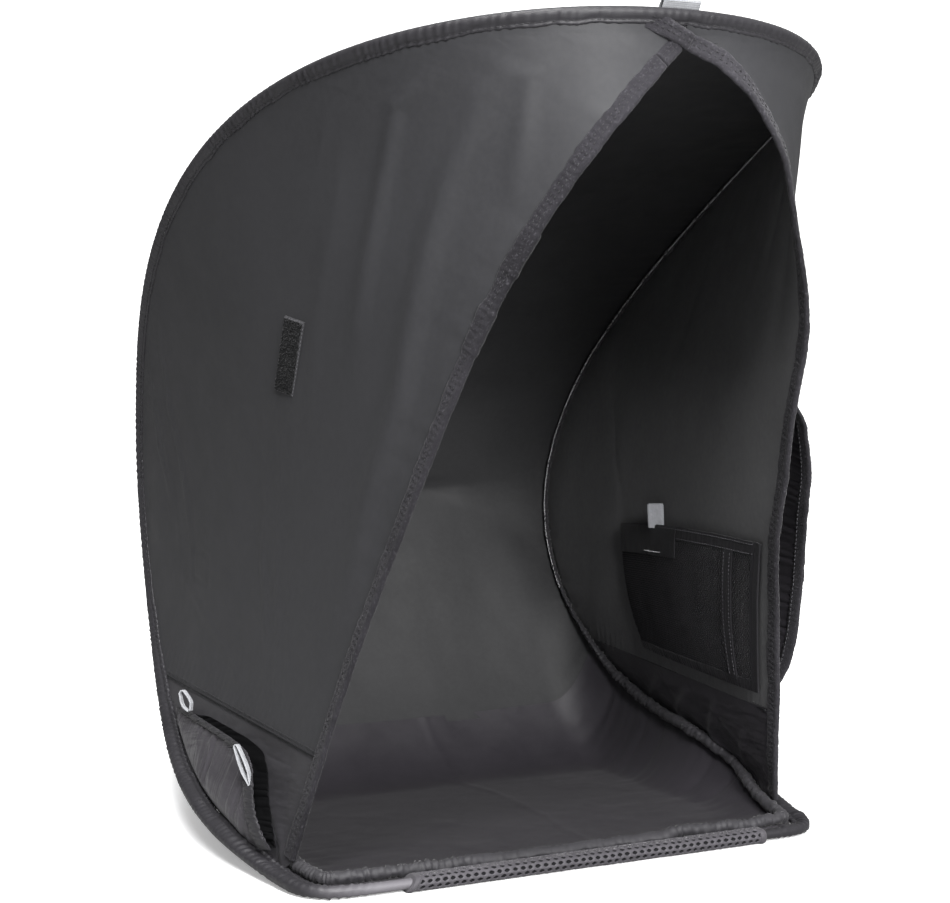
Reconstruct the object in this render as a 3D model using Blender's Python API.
"""Pop-up desktop shade tent: one closed spring-steel hoop in a sewn sleeve, folded into a C in side
view and held in that shape by two side walls, a roof and back panel and a base sheet.

Frame: metres, +Z up, +Y towards the back, +X to the right of someone facing the opening. The origin
is on the ground, on the plane of symmetry, under the middle of the flat floor. The object is shown
standing open, ready to use. Sizes are in millimetres until a mesh is made.

A "share" is a fraction of the half hoop's length, from 0 at the middle of the top front edge, over
the roof, down the back and along the base, to 1 at the middle of the base's front edge.
"""

import math
from collections import namedtuple

import bmesh
import bpy
import numpy as np

# ------------------------------------------------------------------------------------------- sizes
MM = 0.001

# Half of the hoop's band centreline, share 0 to 1: half width, depth (y) and height (z).
HOOP_STATIONS = (
    (0, -271, 507),       # top, middle
    (80, -251, 505),
    (147, -186, 497),     # roof shoulder
    (187, -76, 477),
    (202, 36, 437),       # widest point of the roof
    (198, 138, 376),
    (185, 212, 300),
    (176, 243, 215),      # furthest back
    (176, 221, 136),
    (187, 152, 74),
    (201, 50, 34),        # widest point of the base
    (198, -45, 14),
    (188, -98, 6.5),
    (182.5, -122, 5),     # front corner
    (172, -136, 4.8),
    (152, -141, 4.7),
    (80, -142, 4.7),
    (0, -142, 4.7),       # front edge, middle
)
# Half of the opening's edge, from the apex down to the base: half width, depth and height.
EDGE_STATIONS = (
    (0, -266, 492),
    (43, -274, 450),
    (77, -254, 399),
    (102, -225, 340),
    (118, -193, 277),
    (132, -161, 212),
    (148, -134, 145),
    (163, -111, 76),
    (176, -95, 14),
)

BAND_WIDTH, BAND_THICK = 3.4, 1.1   # flat spring steel
SLEEVE_OUT, SLEEVE_IN, SLEEVE_HALF = 3.2, 8.8, 3.2
SEAM_INSET = 10.5             # from the band's centreline to the seam of wall, roof and floor
SHEET_GAP = 1.9               # from the seam's corner to the edge of roof, back and floor
SEAM_RADIUS = 1.8             # bound seam allowance
FABRIC = 1.2                  # coated nylon with its lining
NYLON = 1.0
FLOOR_Z = FABRIC / 2          # middle of the floor sheet where it lies on the ground

# Spacing of the stations along the hoop.
LONGEST_STEP = 56.0           # millimetres
LARGEST_TURN = 15.0           # degrees in one step

# Half gaps between neighbouring pieces, in millimetres along the hoop.
SPLIT_GAP = 1.5               # between the fixed and the folding half
CROSS_SEAM_GAP = 0.8          # between the pieces above and below the cross seam

GROUND = (0, 0, 0)
SPLIT_Z = 215.0
HINGE = (0.0, 228.0, SPLIT_Z)   # line across the back about which the hood is pressed down

# Shares of the half hoop.
PANEL_START = 0.03            # roof, walls and tape begin
ROOF_MARKS = (0.048, 0.07)    # extra stations near the start of the roof
SEAM_HOOP = 0.642             # the side wall's cross seam meets the hoop
SHARE_BOTTOM = 0.842          # the opening's edge lands on the hoop
PANEL_END = SHARE_BOTTOM - 0.016
CORNER_SHARE = 0.893          # the front corner ends

SEAM_EDGE = 0.880             # share of the opening's edge where the cross seam meets it

# --------------------------------------------------------------------------------------- materials
Finish = namedtuple("Finish", "colour roughness metallic", defaults=(0.0,))

CHARCOAL = (0.045, 0.045, 0.049)
BINDING = (0.052, 0.048, 0.056)
TAPE = (0.05, 0.048, 0.053)

SPRING_STEEL = Finish((0.48, 0.49, 0.50), roughness=0.32, metallic=1.0)
SLEEVE_CLOTH = Finish(BINDING, roughness=0.72)
SEAM_BINDING = Finish(BINDING, roughness=0.8)
ROOF_CLOTH = Finish(CHARCOAL, roughness=0.5)
WALL_CLOTH = Finish(CHARCOAL, roughness=0.42)
LOWER_WALL_CLOTH = Finish((0.04, 0.037, 0.043), roughness=0.55)
FLOOR_LINING = Finish((0.016, 0.016, 0.018), roughness=0.55)
FUZZY_TAPE = Finish(TAPE, roughness=0.95)
SPACER_MESH = Finish((0.085, 0.08, 0.088), roughness=0.85)
HOOK_AND_LOOP = Finish((0.012, 0.012, 0.013), roughness=0.98)
WEBBING = Finish((0.42, 0.43, 0.45), roughness=0.8)
CARGO_CLOTH = Finish((0.05, 0.047, 0.054), roughness=0.5)
CARGO_HEM_CLOTH = Finish((0.045, 0.042, 0.048), roughness=0.7)
NET = Finish((0.02, 0.02, 0.022), roughness=0.8)
NET_BINDING = Finish((0.03, 0.029, 0.032), roughness=0.75)
NET_PATCH_CLOTH = Finish((0.026, 0.025, 0.028), roughness=0.75)
SIDE_POCKET_CLOTH = Finish((0.045, 0.043, 0.048), roughness=0.5)
SIDE_LIP_TAPE = Finish(TAPE, roughness=0.9)


def make_material(name, finish):
    material = bpy.data.materials.new(name)
    material.use_nodes = True
    shader = material.node_tree.nodes["Principled BSDF"]
    shader.inputs["Base Color"].default_value = (*finish.colour, 1.0)
    shader.inputs["Roughness"].default_value = finish.roughness
    shader.inputs["Metallic"].default_value = finish.metallic
    material.diffuse_color = (*finish.colour, 1.0)
    return material


# ------------------------------------------------------------------------------- vectors and curves
def mirrored(points):
    return np.asarray(points, float) * np.array([-1.0, 1.0, 1.0])


def unit(vectors):
    return vectors / np.maximum(np.linalg.norm(vectors, axis=-1, keepdims=True), 1e-12)


def square_to(vectors, tangents):
    """Unit vectors left after taking out the part along the tangents."""
    return unit(vectors - (vectors * tangents).sum(1)[:, None] * tangents)


def ease(x, low, high):
    """Smooth step from 0 at low to 1 at high."""
    t = np.clip((np.asarray(x, float) - low) / (high - low), 0, 1)
    return t * t * (3 - 2 * t)


def second_derivatives(knots, points, closed):
    """Second derivatives of the cubic spline through the points."""
    spans = np.diff(knots)
    slopes = np.diff(points, axis=0) / spans[:, None]
    size = len(points) - 1 if closed else len(points)
    matrix, right_side = np.zeros((size, size)), np.zeros((size, points.shape[1]))
    for i in range(size) if closed else range(1, size - 1):
        matrix[i, i - 1] += spans[i - 1] / 6
        matrix[i, i] += (spans[i - 1] + spans[i]) / 3
        matrix[i, (i + 1) % size] += spans[i] / 6
        right_side[i] = slopes[i] - slopes[i - 1]
    if not closed:
        matrix[0, 0] = matrix[-1, -1] = 1
    solved = np.linalg.solve(matrix, right_side)
    return np.vstack([solved, solved[:1]]) if closed else solved


class Curve:
    """A cubic spline through stations, read by its fraction of arc length."""

    SAMPLES_PER_SPAN = 60
    KNOT_POWER = 0.75             # knots are spaced by chord length to this power

    def __init__(self, stations, closed=False):
        points = np.array(stations, float)
        if closed:
            points = np.vstack([points, points[:1]])
        chords = np.linalg.norm(np.diff(points, axis=0), axis=1)
        knots = np.concatenate([[0], np.cumsum(chords ** self.KNOT_POWER)])
        second = second_derivatives(knots, points, closed)
        dense = []
        for i, span in enumerate(np.diff(knots)):
            for k in range(self.SAMPLES_PER_SPAN):
                f = k / self.SAMPLES_PER_SPAN
                g = 1 - f
                bow = (g**3 - g) * second[i] + (f**3 - f) * second[i + 1]
                dense.append(g * points[i] + f * points[i + 1] + span * span / 6 * bow)
        dense.append(points[-1])
        self.dense = np.array(dense)
        steps = np.linalg.norm(np.diff(self.dense, axis=0), axis=1)
        self.length_at = np.concatenate([[0], np.cumsum(steps)])
        self.length = self.length_at[-1]
        self.closed = closed

    def at(self, fraction):
        s = np.atleast_1d(np.asarray(fraction, float))
        s = np.mod(s, 1.0) if self.closed else np.clip(s, 0, 1)
        s = s * self.length
        return np.stack([np.interp(s, self.length_at, self.dense[:, k]) for k in range(3)], 1)

    def tangent(self, fraction, step=0.002):
        """Unit tangent of a closed curve."""
        return unit(self.at(fraction + step) - self.at(fraction - step))


_right_half = np.array(HOOP_STATIONS, float)
# The loop runs from the top middle down the right side, forward along the base, across the front
# edge and back up the left.
HOOP = Curve(np.vstack([_right_half, mirrored(_right_half[1:-1])[::-1]]), closed=True)
EDGE = Curve(EDGE_STATIONS)
SHARE_PER_MM = 1.0 / (HOOP.length / 2)


# ---------------------------------------------------------------------------------- hoop and walls
def edge_share(share):
    """Share of the opening's edge that faces a share of the half hoop."""
    return np.interp(share, [0, SEAM_HOOP, SHARE_BOTTOM], [0.0, SEAM_EDGE, 1.0])


def hoop_frame(share):
    """Right half of the hoop: position, tangent, direction away from the side wall (turned level
    where the hoop lies on the ground) and the direction across both."""
    share = np.atleast_1d(np.asarray(share, float))
    position, tangent = HOOP.at(share / 2), HOOP.tangent(share / 2)
    facing = EDGE.at(edge_share(np.minimum(share, SHARE_BOTTOM - 0.02)))
    away = square_to(position - facing, tangent)
    level = unit(np.cross(tangent, np.array([0.0, 0.0, -1.0])))
    on_ground = ease(share, SHARE_BOTTOM - 0.05, SHARE_BOTTOM + 0.01)[:, None]
    outward = square_to(unit(away * (1 - on_ground) + level * on_ground), tangent)
    return position, tangent, outward, np.cross(outward, tangent)


def wall_lines(shares):
    """Both ends of the right wall's straight lines: on the opening's edge and on the hoop's seam."""
    position, _, outward, _ = hoop_frame(shares)
    return EDGE.at(edge_share(shares)), position - SEAM_INSET * outward


def find_split():
    """Share at the back of the hoop where it passes the split's height."""
    fine = np.linspace(0, 1, 2801)
    points = HOOP.at(fine / 2)
    return fine[int(np.argmax(points[:, 1] - 3.0 * np.abs(points[:, 2] - SPLIT_Z)))]


SPLIT = find_split()
UPPER_END = SPLIT - SPLIT_GAP * SHARE_PER_MM
LOWER_START = SPLIT + SPLIT_GAP * SHARE_PER_MM
ABOVE_CROSS_SEAM = SEAM_HOOP - CROSS_SEAM_GAP * SHARE_PER_MM
BELOW_CROSS_SEAM = SEAM_HOOP + CROSS_SEAM_GAP * SHARE_PER_MM


def hoop_stations():
    """Shares used by every piece that follows the hoop, so that their flats line up."""
    fine = np.linspace(0, 1, 2801)
    tangent = HOOP.tangent(fine / 2)
    marks = [0.0, PANEL_START, *ROOF_MARKS, UPPER_END, LOWER_START, ABOVE_CROSS_SEAM,
             BELOW_CROSS_SEAM, PANEL_END, SHARE_BOTTOM, CORNER_SHARE, 1.0]
    stations = []
    for low, high in zip(marks[:-1], marks[1:]):
        inside = [i for i in range(len(fine)) if low < fine[i] < high]
        length = (high - low) / SHARE_PER_MM
        bend = math.degrees(sum(
            math.acos(max(-1, min(1, float(tangent[i] @ tangent[i - 1])))) for i in inside[1:]))
        count = max(1, math.ceil(max(length / LONGEST_STEP, bend / LARGEST_TURN)))
        stations += [low + (high - low) * k / count for k in range(count)]
    return np.array(stations + [1.0])


STATIONS = hoop_stations()


def between(low, high, slack=1e-6):
    return STATIONS[(STATIONS >= low - slack) & (STATIONS <= high + slack)]


WALL_SHARES = between(0.0, SHARE_BOTTOM)
WALL_EDGE, WALL_SEAM = wall_lines(WALL_SHARES)

# Halves of the hoop: label, shares and origin.
HOOP_HALVES = (("upper", between(0.0, UPPER_END), HINGE),
               ("lower", between(LOWER_START, 1.0), GROUND))


def seam_corner(shares):
    """Corner where the wall meets the roof, back or floor: the corner itself, the directions into
    the wall and into the other sheet, and the inside direction that halves their angle."""
    position, tangent, outward, _ = hoop_frame(shares)
    corner = position - SEAM_INSET * outward
    corner_x, corner_y, corner_z = corner.T
    upright = ease(shares, SHARE_BOTTOM - 0.10, SHARE_BOTTOM + 0.01)[:, None]
    wall = unit(-outward * (1 - upright) + np.array([0.0, 0.0, 1.0]) * upright)
    wall = square_to(wall, tangent)

    # The other sheet heads for a target: on the plane of symmetry along the roof (further back
    # near the front), low and just inside along the base, straight back along the front edge.
    roof_front = 1 - ease(shares, 0.04, 0.20)
    base = ease(shares, 0.60, 0.72)
    front_edge = ease(shares, SHARE_BOTTOM, 0.93)
    base_z = np.maximum(corner_z - 52, FLOOR_Z)
    target = np.stack([
        (corner_x - 30) * base * (1 - front_edge) + corner_x * front_edge,
        (corner_y + 110 * roof_front) * (1 - front_edge) + (corner_y + 30) * front_edge,
        (corner_z - 6) * (1 - base) + base_z * base,
    ], 1)
    sheet = square_to(target - corner, tangent)
    return corner, wall, sheet, unit(sheet + wall)


def wall_grid(shares, side=1):
    """Wall points: rows at hoop shares, columns from the opening to the seam. The first column is
    tucked into the tape, the second is clear of it, the rest are even steps."""
    edge, seam = wall_lines(shares)
    length = np.linalg.norm(seam - edge, axis=1)
    tucked, clear = 1.6 / length, np.minimum(14.0 / length, 0.45)
    rest = [clear + (1 - clear) * step for step in np.linspace(0, 1, 5)[1:]]
    columns = np.stack([tucked, clear] + rest, 1)
    grid = edge[:, None] + (seam - edge)[:, None] * columns[:, :, None]
    return grid if side > 0 else mirrored(grid)


def read_wall(line_ends, share):
    return np.stack([np.interp(share, WALL_SHARES, line_ends[:, k]) for k in range(3)], -1)


def wall_point(share, across, off, side=1):
    """Point on the flats of the wall at a hoop share and a fraction across from the opening to the
    seam, off millimetres out."""
    share, across, off = np.broadcast_arrays(
        np.asarray(share, float), np.asarray(across, float), np.asarray(off, float))
    edge, seam = read_wall(WALL_EDGE, share), read_wall(WALL_SEAM, share)
    reach = 0.012                 # share to either side over which the slope is taken
    edge_run = read_wall(WALL_EDGE, share + reach) - read_wall(WALL_EDGE, share - reach)
    seam_run = read_wall(WALL_SEAM, share + reach) - read_wall(WALL_SEAM, share - reach)
    down = edge_run * (1 - across[..., None]) + seam_run * across[..., None]
    out = unit(np.cross(down, seam - edge))
    out = np.where(out[..., :1] < 0, -out, out)
    point = edge + (seam - edge) * across[..., None] + out * off[..., None]
    return point if side > 0 else mirrored(point)


# ------------------------------------------------------------------------------ sections and rings
def rings_on(path, first, second, section):
    """One ring per path point; a section's columns are measured along first and second."""
    section = np.array(section, float)
    return (path[:, None] + section[None, :, :1] * first[:, None]
            + section[None, :, 1:] * second[:, None])


def carried(path, normals, section):
    """Rings of a section along a path: its columns lie along the normals and across them."""
    tangent = unit(np.gradient(path, axis=0))
    normal = square_to(normals, tangent)
    return rings_on(path, normal, np.cross(normal, tangent), section)


def hoop_rings(shares, section):
    """Right-half rings; a section's columns are outward from the wall and across the hoop."""
    position, _, outward, across = hoop_frame(shares)
    return rings_on(position, outward, across, section)


def both_halves(right, from_top):
    """Right-half rings joined to their mirror through the top's middle or the front edge's."""
    if from_top:
        return np.concatenate([mirrored(right[:0:-1]), right])
    return np.concatenate([right, mirrored(right[-2::-1])])


def rectangle(width, thick):
    x, y = width / 2, thick / 2
    return [(x, y), (-x, y), (-x, -y), (x, -y)]


def six_sided(width, thick, turn=0.0):
    angles = [turn + 2 * math.pi * k / 6 for k in range(6)]
    return [(width / 2 * math.cos(a), thick / 2 * math.sin(a)) for a in angles]


def surface_grid(point, columns, rows, *lift):
    """Points of a surface function point(column, row), row by row."""
    row_grid, column_grid = np.meshgrid(rows, columns, indexing="ij")
    return point(column_grid, row_grid, *lift)


# ------------------------------------------------------------------------------------------ meshes
def tube_mesh(rings, holes=None):
    """Closed body from rings of a section; with holes it is an open-ended pipe."""
    n, k = rings.shape[:2]
    verts = list(rings.reshape(-1, 3))
    faces = []
    for i in range(n - 1):
        for j in range(k):
            a, b = i * k + j, i * k + (j + 1) % k
            faces.append((a, b, b + k, a + k))
    if holes is None:
        faces.append(tuple(range(k - 1, -1, -1)))
        faces.append(tuple((n - 1) * k + j for j in range(k)))
        return verts, faces
    base = n * k
    verts += list(holes.reshape(-1, 3))
    for i in range(n - 1):
        for j in range(k):
            a, b = base + i * k + j, base + i * k + (j + 1) % k
            faces.append((b, a, a + k, b + k))
    for i in (0, n - 1):
        for j in range(k):
            a, b = i * k + j, i * k + (j + 1) % k
            faces.append((b, a, base + a, base + b) if i == 0 else (a, b, base + b, base + a))
    return verts, faces


def sheet_mesh(grid, thickness):
    """Closed body of even thickness about a grid of points."""
    grid = np.asarray(grid, float)
    normal = unit(np.cross(np.gradient(grid, axis=0), np.gradient(grid, axis=1)))
    top, low = grid + normal * thickness / 2, grid - normal * thickness / 2
    n, k = grid.shape[:2]
    verts = list(top.reshape(-1, 3)) + list(low.reshape(-1, 3))
    m = n * k
    faces = []
    for i in range(n - 1):
        for j in range(k - 1):
            a = i * k + j
            faces.append((a, a + 1, a + k + 1, a + k))
            faces.append((m + a, m + a + k, m + a + k + 1, m + a + 1))
    rim = list(range(k))
    rim += [i * k + k - 1 for i in range(1, n)]
    rim += [(n - 1) * k + j for j in range(k - 2, -1, -1)]
    rim += [i * k for i in range(n - 2, 0, -1)]
    for a, b in zip(rim, rim[1:] + rim[:1]):
        faces.append((b, a, m + a, m + b))
    return verts, faces


def add(name, body, finish, origin=GROUND, sharp_angle=50):
    """Object from a body's vertices and faces in millimetres, with its origin moved."""
    verts, faces = body
    origin = np.array(origin, float)
    mesh = bpy.data.meshes.new(name)
    mesh.from_pydata([tuple((vert - origin) * MM) for vert in verts], [], faces)
    bm = bmesh.new()
    bm.from_mesh(mesh)
    bmesh.ops.recalc_face_normals(bm, faces=bm.faces)
    bmesh.ops.triangulate(bm, faces=bm.faces)
    if bm.calc_volume(signed=True) < 0:
        bmesh.ops.reverse_faces(bm, faces=bm.faces)
    bm.to_mesh(mesh)
    bm.free()
    mesh.shade_smooth()
    mesh.set_sharp_from_angle(angle=math.radians(sharp_angle))
    obj = bpy.data.objects.new(name, mesh)
    obj.location = origin * MM
    mesh.materials.append(make_material("mat_" + name, finish))
    bpy.context.collection.objects.link(obj)


def add_webbing_tab(name, base, up, across, width, height, gap, thick=1.0):
    """A strip of webbing folded into a loop, both ends at the base, which is its origin."""
    up, across = unit(np.array(up, float)), unit(np.array(across, float))
    through = np.cross(up, across)
    radius = gap / 2 + thick / 2
    straight = height - radius
    bend_steps = 7
    path, normal = [], []
    for f in (0.0, 0.5, 1.0):
        path.append(up * straight * f - through * radius)
        normal.append(-through)
    for k in range(1, bend_steps):
        a = math.pi * k / bend_steps
        path.append(up * (straight + radius * math.sin(a)) - through * radius * math.cos(a))
        normal.append(up * math.sin(a) - through * math.cos(a))
    for f in (1.0, 0.5, 0.0):
        path.append(up * straight * f + through * radius)
        normal.append(through)
    path = np.array(path) + base
    normal = square_to(np.array(normal), unit(np.gradient(path, axis=0)))
    rings = rings_on(path, across[None], normal, rectangle(width, thick))
    add(name, tube_mesh(rings), WEBBING, base)


# ------------------------------------------------------------------------------------ hoop and seam
# Outline of the sleeve and of the hole in it: outward from the wall, across the hoop.
SLEEVE_SECTION = [(SLEEVE_OUT, 0), (1.8, 2.6), (-2.2, SLEEVE_HALF), (-SLEEVE_IN, 1.2),
                  (-SLEEVE_IN, -1.2), (-2.2, -SLEEVE_HALF), (1.8, -2.6)]
SLEEVE_HOLE = [(2.4, 0), (1.5, 1.6), (-1.6, 1.9), (-3.2, 0.6), (-3.2, -0.6), (-1.6, -1.9),
               (1.5, -1.6)]


def build_hoop():
    """Spring band and its sewn sleeve, each in a fixed lower half and a folding upper half."""
    for label, shares, origin in HOOP_HALVES:
        band, sleeve, hole = (
            both_halves(hoop_rings(shares, section), label == "upper")
            for section in (rectangle(BAND_WIDTH, BAND_THICK), SLEEVE_SECTION, SLEEVE_HOLE))
        add("hoop_band_" + label, tube_mesh(band), SPRING_STEEL, origin)
        add("hoop_sleeve_" + label, tube_mesh(sleeve, hole), SLEEVE_CLOTH, origin)


def build_inner_seam():
    """Bound seam allowance running round the inside corner of the hoop."""
    section = six_sided(2 * SEAM_RADIUS, 2 * SEAM_RADIUS, math.pi / 6)
    for label, shares, origin in HOOP_HALVES:
        corner, wall, _, middle = seam_corner(shares)
        half_angle = np.arccos(np.clip((middle * wall).sum(1), -1, 1))
        # Far enough into the corner to clear both sheets.
        reach = (SEAM_RADIUS + 1.4) / np.maximum(np.sin(half_angle), 0.55) + 0.6
        right = carried(corner + reach[:, None] * middle, middle, section)
        add("inner_seam_" + label, tube_mesh(both_halves(right, label == "upper")), SEAM_BINDING,
            origin)


# ----------------------------------------------------------------------------- roof, back and floor
ROOF_COLUMNS = 9
ROOF_SAG = 7.0
ROOF_INSIDE = (0, -20.0, 230.0)          # point towards which the roof sags
FLOOR_INSETS = (0, 7, 16, 27, 42)        # floor columns, measured in from the edge
FLOOR_INNER_COLUMN = 0.33                # innermost column, as a fraction of the half width


def roof_rows(shares):
    corner, _, sheet, _ = seam_corner(shares)
    edge = corner + SHEET_GAP * sheet
    x = np.linspace(1, -1, ROOF_COLUMNS)
    centre = edge * np.array([0, 1.0, 1.0])
    rows = edge[:, None] * np.array([1.0, 0, 0]) * x[None, :, None] + centre[:, None]
    ahead = unit(np.gradient(centre, axis=0))
    inward = np.stack([np.zeros(len(edge)), ahead[:, 2], -ahead[:, 1]], 1)
    facing = (inward * (np.array(ROOF_INSIDE) - edge)).sum(1)[:, None]
    inward *= np.where(facing < 0, -1, 1)
    depth = ROOF_SAG * ease(shares, 0.02, 0.22)[:, None] * (1 - x[None, :] ** 2)
    return rows + inward[:, None] * depth[:, :, None]


def floor_height(y):
    """Height of the floor and back along the plane of symmetry."""
    back = FLOOR_Z + (SPLIT_Z - FLOOR_Z) * np.clip((y - 100) / 134, 0, None) ** 2.3
    front = 4.6 * ease(-y, 108, 131)
    return back + front


def floor_rows(shares):
    """Rows across the floor and back from the right seam to the left one."""
    corner, wall, sheet, _ = seam_corner(shares)
    angle = np.arccos(np.clip((sheet * wall).sum(1), -1, 1))
    gap = SHEET_GAP / np.maximum(np.sin(angle), 0.5)
    rows = []
    for edge_x, edge_y, edge_z in corner + gap[:, None] * sheet:
        middle_y = edge_y + 6 * ease(edge_z, 60, 160)
        middle_z = floor_height(middle_y)
        # The floor curls up only near its edge; the back bows evenly across its width.
        bowed = ease(edge_z, 70, 190)
        columns = [edge_x - inset for inset in FLOOR_INSETS if edge_x - inset > 0.35 * edge_x]
        right = []
        for x in columns + [FLOOR_INNER_COLUMN * edge_x]:
            curl_width = FLOOR_INSETS[-1]
            curl = min(1.0, max(0.0, (x - (edge_x - curl_width)) / curl_width)) ** 2.2
            rise = curl * (1 - bowed) + (x / edge_x) ** 2 * bowed
            right.append((x, middle_y + (edge_y - middle_y) * rise,
                          middle_z + (edge_z - middle_z) * rise))
        right = np.array(right)
        rows.append(np.concatenate([right, [[0, middle_y, middle_z]], mirrored(right[::-1])]))
    return np.array(rows)


def build_roof_back_and_floor():
    roof = roof_rows(between(PANEL_START, UPPER_END))
    back = floor_rows(between(LOWER_START, ABOVE_CROSS_SEAM))
    floor = floor_rows(between(BELOW_CROSS_SEAM, CORNER_SHARE))
    add("roof_panel", sheet_mesh(roof, FABRIC), ROOF_CLOTH, HINGE)
    add("back_panel", sheet_mesh(back, FABRIC), ROOF_CLOTH)
    add("floor_sheet", sheet_mesh(floor, FABRIC), FLOOR_LINING)


# --------------------------------------------------------------------------------- walls and tape
# Channel of the tape: from the opening's edge into the wall, and through the wall's thickness.
TAPE_SECTION = [(-2.0, -1.6), (-1.2, -2.3), (10.0, -2.3), (10.0, -1.3), (0.4, -1.3), (0.4, 1.3),
                (10.0, 1.3), (10.0, 2.3), (-1.2, 2.3), (-2.0, 1.6)]
APEX_PATCH_THICK = 2.4


def tape_rings(shares, side):
    edge, seam = wall_lines(shares)
    into_wall = unit(seam - edge)
    normal = unit(np.cross(unit(np.gradient(edge, axis=0)), into_wall))
    rings = rings_on(edge, into_wall, normal, TAPE_SECTION)
    return rings if side > 0 else mirrored(rings)


def build_walls():
    """Side walls, coated above the cross seam and plain nylon below it, with fuzzy tape folded
    over the opening's edge as a channel that takes the panel's edge."""
    parts = (
        ("side", "upper", between(PANEL_START, ABOVE_CROSS_SEAM), WALL_CLOTH, HINGE),
        ("lower", "lower", between(BELOW_CROSS_SEAM, PANEL_END), LOWER_WALL_CLOTH, GROUND),
    )
    for side, label in ((-1, "left"), (1, "right")):
        for panel, tape, shares, cloth, origin in parts:
            add(f"{label}_{panel}_panel", sheet_mesh(wall_grid(shares, side), FABRIC), cloth,
                origin)
            add(f"{label}_front_tape_{tape}", tube_mesh(tape_rings(shares, side)), FUZZY_TAPE,
                origin, sharp_angle=40)


def build_apex_patch():
    """Doubled piece of tape that closes the point where both tapes meet under the hoop."""
    wall_line = wall_grid(between(PANEL_START, PANEL_START))[0]
    hoop_top, _, outward, _ = hoop_frame(0.0)
    seam_top = hoop_top[0] - SEAM_INSET * outward[0]
    edge_top = EDGE.at(0.0)[0]
    rows = []
    for f in (0.10, 0.36, 0.66, 0.97):       # from the opening to the seam
        end = wall_line[0] * (1 - f) + wall_line[-1] * f
        middle = seam_top * f + edge_top * (1 - f)
        half_width = end[0] - 0.9 - 4.0 * (1 - f)
        rows.append([(half_width * k,
                      end[1] * k * k + middle[1] * (1 - k * k) - 0.3,
                      end[2] * k * k + middle[2] * (1 - k * k))
                     for k in (-1.0, -0.5, 0.0, 0.5, 1.0)])
    add("apex_patch", sheet_mesh(np.array(rows), APEX_PATCH_THICK), FUZZY_TAPE, HINGE)


# ------------------------------------------------------------------------------------ small fittings
MESH_FROM, MESH_TO, MESH_RINGS = -117.0, 127.0, 9    # x of the spacer-mesh sleeve's ends
# Sections of the spacer-mesh sleeve: forward and up from the band's centreline.
MESH_OUTSIDE = [(5.4, 0), (3.4, 3.9), (-2.2, 4.75), (-10.4, 3.2), (-10.4, -3.2), (-2.2, -4.55),
                (3.4, -3.9)]
MESH_INSIDE = [(3.75, 0), (2.1, 3.1), (-2.2, 3.65), (-9.3, 1.85), (-9.3, -1.85), (-2.2, -3.65),
               (2.1, -3.1)]

# Hoop share and fraction across the wall at the fastener strip's upper and lower ends.
STRIP_UPPER, STRIP_LOWER = (0.336, 0.500), (0.393, 0.452)
STRIP_OFF, STRIP_HALF_WIDTH, STRIP_THICK = 2.0, 8.0, 1.8

PULL_X = -6.0


def build_front_mesh_sleeve():
    """Spacer-mesh sleeve slipped over the front edge."""
    _, front_y, front_z = HOOP_STATIONS[-1]
    path = np.array([(x, front_y, front_z) for x in np.linspace(MESH_FROM, MESH_TO, MESH_RINGS)])
    forward = np.tile([0.0, -1.0, 0.0], (MESH_RINGS, 1))
    outside, inside = (carried(path, forward, s) for s in (MESH_OUTSIDE, MESH_INSIDE))
    add("front_mesh_sleeve", tube_mesh(outside, inside), SPACER_MESH)


def build_fastener_strip():
    """Hook-and-loop strip sewn on the left wall."""
    upper_end = wall_point(*STRIP_UPPER, STRIP_OFF, side=-1)
    lower_end = wall_point(*STRIP_LOWER, STRIP_OFF, side=-1)
    out = unit(wall_point(*STRIP_UPPER, STRIP_OFF + 1.0, side=-1) - upper_end)
    sideways = unit(np.cross(unit(lower_end - upper_end), out))
    grid = [[upper_end + (lower_end - upper_end) * f + sideways * w + out * STRIP_THICK / 2
             for w in (-STRIP_HALF_WIDTH, 0.0, STRIP_HALF_WIDTH)]
            for f in (0.0, 0.33, 0.67, 1.0)]
    add("left_fastener_strip", sheet_mesh(grid, STRIP_THICK), HOOK_AND_LOOP, HINGE)


def build_pull_loop():
    """Webbing tab folded over the top of the hoop's front."""
    _, top_y, top_z = HOOP.at(0.0)[0]
    add_webbing_tab("top_pull_loop", np.array([PULL_X, top_y + 10.6, top_z - 0.2]),
                    up=(0, -0.62, 0.785), across=(1, 0, 0), width=24, height=11, gap=1.4,
                    thick=1.1)


# --------------------------------------------------------------------------------- cargo pocket
# Hem, back to front: hoop share, fraction across the wall and distance off the wall.
CARGO_HEM = np.array((
    (0.667, 0.90, 3.0), (0.669, 0.71, 8.5), (0.673, 0.56, 12.0), (0.682, 0.42, 13.0),
    (0.697, 0.35, 13.0), (0.723, 0.325, 13.0), (0.750, 0.35, 12.5), (0.774, 0.39, 12.0),
    (0.800, 0.45, 9.5), (0.812, 0.62, 5.0),
))
# Fraction of the hem's length at each row, from rough lengths of the hoop and of a wall line.
_hem_steps = np.hypot(np.diff(CARGO_HEM[:, 0]) * 1400, np.diff(CARGO_HEM[:, 1]) * 230)
_hem_lengths = np.concatenate([[0], np.cumsum(_hem_steps)])
CARGO_HEM_AT = _hem_lengths / _hem_lengths[-1]
CARGO_LOW_ACROSS = 0.93       # fraction across the wall at the pocket's lower seam
CARGO_CLEARANCE = 2.2         # least distance off the wall
CARGO_REAR_TAB_AT = 0.10      # fraction along the hem
CARGO_FRONT_TAB_SHARE = 0.723


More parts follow.
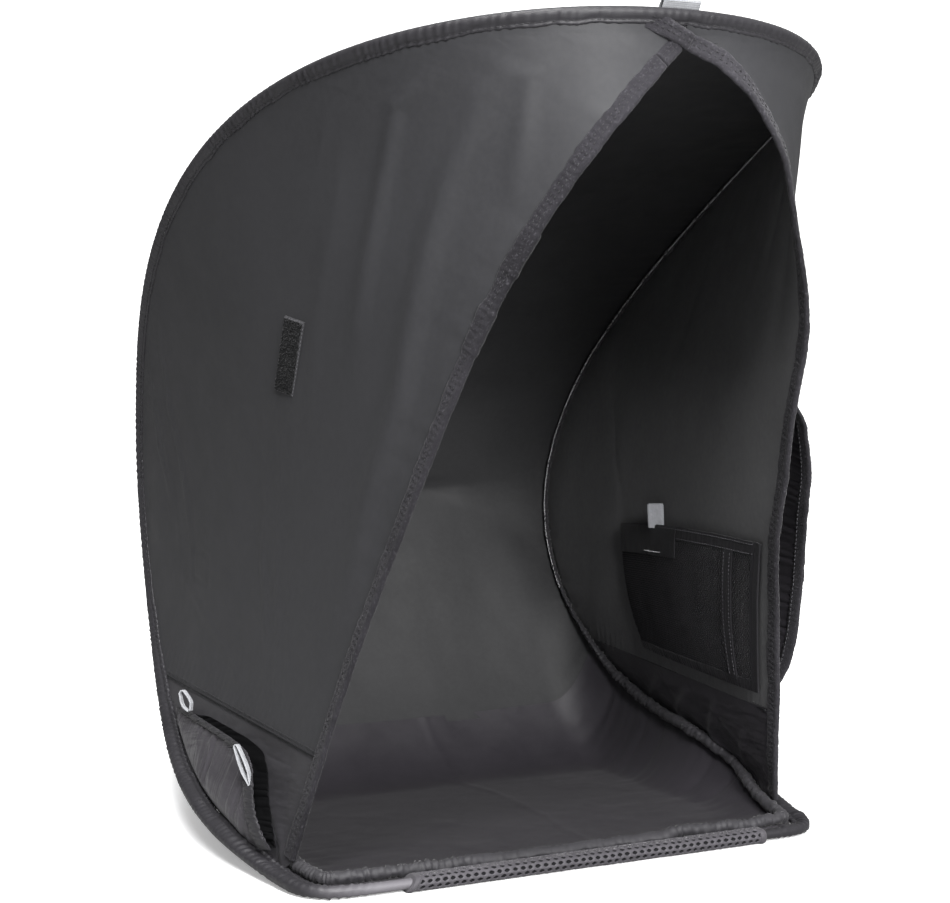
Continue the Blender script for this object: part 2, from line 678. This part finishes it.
def cargo_point(along, down, lift=0.0):
    """Point of the cargo pocket: along the hem from back to front, down from hem to lower seam."""
    along, down = np.broadcast_arrays(np.asarray(along, float), np.asarray(down, float))
    hem_share, hem_across, hem_off = (
        np.interp(along, CARGO_HEM_AT, CARGO_HEM[:, k]) for k in range(3))
    rear_share, front_share = CARGO_HEM[0, 0], CARGO_HEM[-1, 0]
    low_share = rear_share + (front_share - rear_share) * along
    share = hem_share * (1 - down) + low_share * down
    across = hem_across * (1 - down) + CARGO_LOW_ACROSS * down
    bulge = np.sqrt(np.clip(1 - down, 0, 1)) * (1 + 0.35 * down)
    off = CARGO_CLEARANCE + lift + (hem_off - CARGO_CLEARANCE) * bulge
    return wall_point(share, across, off, side=-1)


def build_cargo_pocket():
    """Pocket outside the left wall's lower panel, with a gathered hem and two webbing tabs."""
    columns = np.linspace(0.10, 0.90, 12)
    drop = np.linalg.norm(cargo_point(columns, 0.5) - cargo_point(columns, 0.0), axis=1) * 2
    rows = np.linspace(0.0, 1.0, 6)[:, None]
    # The cloth starts 6.6 mm below the hem's line.
    rows = rows + (1 - rows) * np.clip(6.6 / drop, 0, 0.6)[None, :]
    grid = cargo_point(columns[None, :], rows)
    add("left_cargo_pocket", sheet_mesh(grid, NYLON), CARGO_CLOTH)

    along = np.linspace(0.04, 0.96, 14)
    hem_path = cargo_point(along, -0.02)
    hem_out = unit(cargo_point(along, -0.02, 1.0) - hem_path)
    hem_path = hem_path + np.array([0.0, 0.0, 0.6])
    hem = carried(hem_path, hem_out, six_sided(3.0, 4.6))
    add("left_pocket_hem", tube_mesh(hem), CARGO_HEM_CLOTH)

    rear = cargo_point(CARGO_REAR_TAB_AT, 0.0) + np.array([-1.0, 2.0, 6.2])
    add_webbing_tab("left_pocket_tab_rear", rear, up=(-0.12, 0.45, 0.88),
                    across=(0.0, 0.89, -0.45), width=9, height=15, gap=3.4)
    front_at = np.interp(CARGO_FRONT_TAB_SHARE, CARGO_HEM[:, 0], CARGO_HEM_AT)
    front = cargo_point(front_at, 0.0) + np.array([-5.2, 0.0, -1.0])
    add_webbing_tab("left_pocket_tab_front", front, up=(-0.05, 0.42, 0.90),
                    across=(0.0, 0.90, -0.42), width=9, height=28, gap=3.0)


# ----------------------------------------------------------------------------------- net pocket
# Fractions across the wall, from the opening.
NET_FRONT, NET_DIVIDER, NET_PATCH, NET_BACK = 0.055, 0.135, 0.40, 0.60
NET_LOW = 0.617               # hoop share of the pocket's bottom
NET_HEM_DOWN = 9.0 / 101.0    # depth of the hem as a fraction of the pocket's


def net_point(across, down, lift=0.0):
    """Point of the net pocket: across the wall from the opening, down from 0 at the hem's top to 1
    at the bottom, lift millimetres further inside."""
    hem_share = 0.472 + 0.088 * across
    share = hem_share + (NET_LOW - hem_share) * down
    width_part = np.clip((across - NET_FRONT) / (NET_BACK - NET_FRONT), 0, 1)
    puff = 6.0 * np.sin(math.pi * width_part) ** 0.6 * (1 - 0.75 * down ** 2)
    return wall_point(share, across, -(2.4 + puff + lift))


def build_net_pocket():
    """Net pocket on the inside of the right wall."""
    full = np.array([NET_FRONT, 0.10, 0.17, 0.24, 0.32, 0.40, 0.47, 0.54, NET_BACK])
    divider = np.array([-0.010, 0.010]) + NET_DIVIDER
    patch = np.linspace(NET_PATCH, NET_BACK - 0.02, 4)
    # Part, columns across, first row, last row, row count, lift, thickness and finish.
    parts = (
        ("net", full, NET_HEM_DOWN + 0.012, 0.925, 6, 0.0, 0.8, NET),
        ("hem", full, 0.0, NET_HEM_DOWN, 3, 0.0, 1.6, NET_BINDING),
        ("binding", full, 0.94, 1.0, 2, 0.0, 1.6, NET_BINDING),
        ("divider", divider, NET_HEM_DOWN + 0.02, 0.92, 6, 1.6, 1.2, NET_BINDING),
        ("patch", patch, 0.03, 0.20, 4, 2.2, 1.2, NET_PATCH_CLOTH),
    )
    for part, columns, first, last, count, lift, thickness, finish in parts:
        grid = surface_grid(net_point, columns, np.linspace(first, last, count), lift)
        add("mesh_pocket_" + part, sheet_mesh(grid, thickness), finish, HINGE)

    tab_base = net_point(0.475, 0.0, 5.0) + np.array([0.0, 0.0, 0.4])
    add_webbing_tab("mesh_pocket_tab", tab_base, up=(0.0, 0.05, 1.0), across=(0.55, -0.83, 0.0),
                    width=12, height=16, gap=1.6)


# ---------------------------------------------------------------------------------- side pocket
SIDE_TOP, SIDE_LOW = 0.330, 0.630    # hoop shares
SIDE_BACK = 0.52                     # fraction across the wall
SIDE_MOUTH_INSET = 14.5              # from the opening's edge to the mouth
SIDE_LIP = 9.0 / 150.0               # depth of the lip as a fraction of the pocket's
# Fraction from the mouth's top to its bottom, and how far the mouth stands off the wall there.
SIDE_MOUTH = np.array((
    (0.0, 0.0), (0.10, 15.0), (0.20, 21.0), (0.30, 25.5), (0.50, 28.0), (0.65, 28.0),
    (0.80, 25.5), (0.90, 21.0), (0.96, 13.0), (1.0, 0.0),
))


def side_pocket_point(back, down):
    """Point of the side pocket: back from its mouth to the seam on the wall, down from its top."""
    share = SIDE_TOP + (SIDE_LOW - SIDE_TOP) * down
    edge, seam = wall_lines(share.reshape(-1))
    line_length = np.linalg.norm(seam - edge, axis=1).reshape(share.shape)
    mouth = SIDE_MOUTH_INSET / line_length
    stand = np.interp(down, SIDE_MOUTH[:, 0], SIDE_MOUTH[:, 1])
    lens = np.sin(math.pi * down) ** 0.7
    across = mouth + (SIDE_BACK - mouth) * back * (0.35 + 0.65 * lens)
    return wall_point(share, across, 2.4 + stand * (1 - back) ** 1.25)


def build_side_pocket():
    """Pocket outside the right wall, its mouth facing forward just behind the opening's tape."""
    rows = np.linspace(0.02, 0.98, 13)
    pocket = surface_grid(side_pocket_point, [SIDE_LIP + 0.012, 0.25, 0.45, 0.7, 1.0], rows)
    lip = surface_grid(side_pocket_point, [0.0, SIDE_LIP], rows)
    add("right_side_pocket", sheet_mesh(pocket, NYLON), SIDE_POCKET_CLOTH, HINGE)
    add("right_side_pocket_lip", sheet_mesh(lip, 2.2), SIDE_LIP_TAPE, HINGE)


# ------------------------------------------------------------------------------------------- build
for old_object in list(bpy.data.objects):
    bpy.data.objects.remove(old_object, do_unlink=True)

build_hoop()
build_roof_back_and_floor()
build_inner_seam()
build_walls()
build_apex_patch()
build_front_mesh_sleeve()
build_fastener_strip()
build_pull_loop()
build_cargo_pocket()
build_net_pocket()
build_side_pocket()
